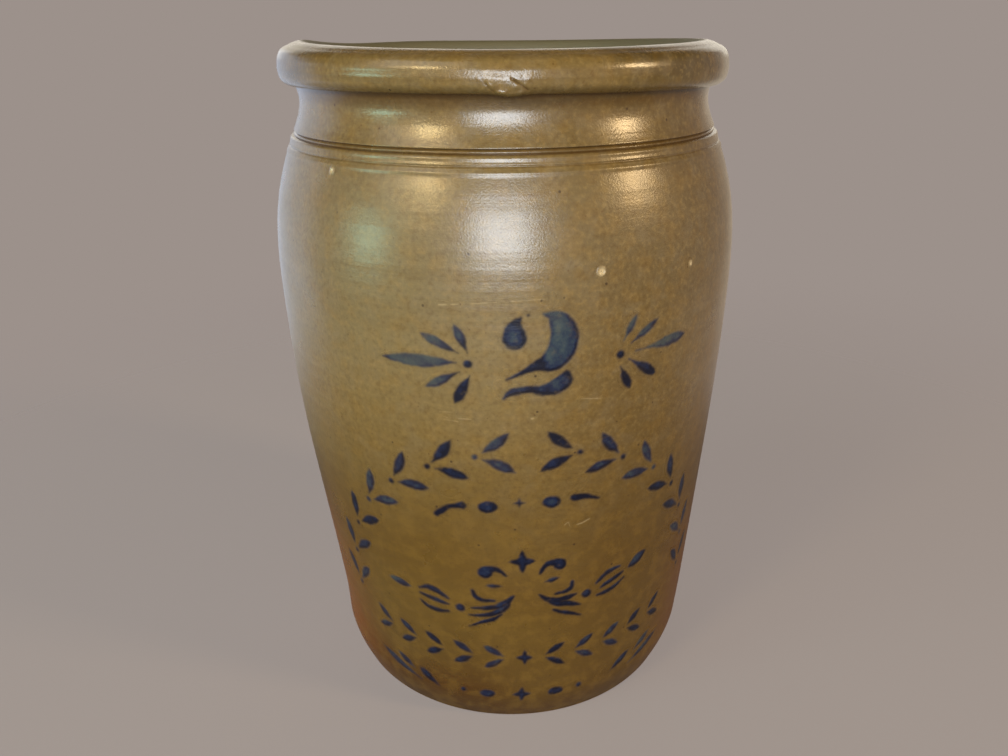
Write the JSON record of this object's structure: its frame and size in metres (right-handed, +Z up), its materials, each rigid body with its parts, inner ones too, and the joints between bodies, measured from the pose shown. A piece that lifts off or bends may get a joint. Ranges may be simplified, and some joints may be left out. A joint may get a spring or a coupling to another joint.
{
  "type": "stoneware crock",
  "caption": "Tall round open-mouthed storage jar of salt-glazed stoneware with a rolled rim, a short neck and a dark slip lining, for keeping food or liquids.",
  "frame": {"origin": "centre of the underside, where the jar stands", "axes": "+Z up along the jar's axis, -Y towards the painted front"},
  "size_m": [0.2136, 0.2136, 0.305],
  "materials": {
    "salt_glaze": "semi-gloss salt glaze over tan clay, slightly pitted, browner towards the foot, with cobalt blue brushwork",
    "slip_glaze": "thin dark brown slip glaze, satin",
    "bare_clay": "dry unglazed stoneware, rough"
  },
  "bodies": {
    "root": {"floor_disc": "bare_clay", "body_wall": "salt_glaze", "neck_collar": "salt_glaze", "rim_roll": "salt_glaze", "slip_lining": "slip_glaze"}
  },
  "joints": []
}
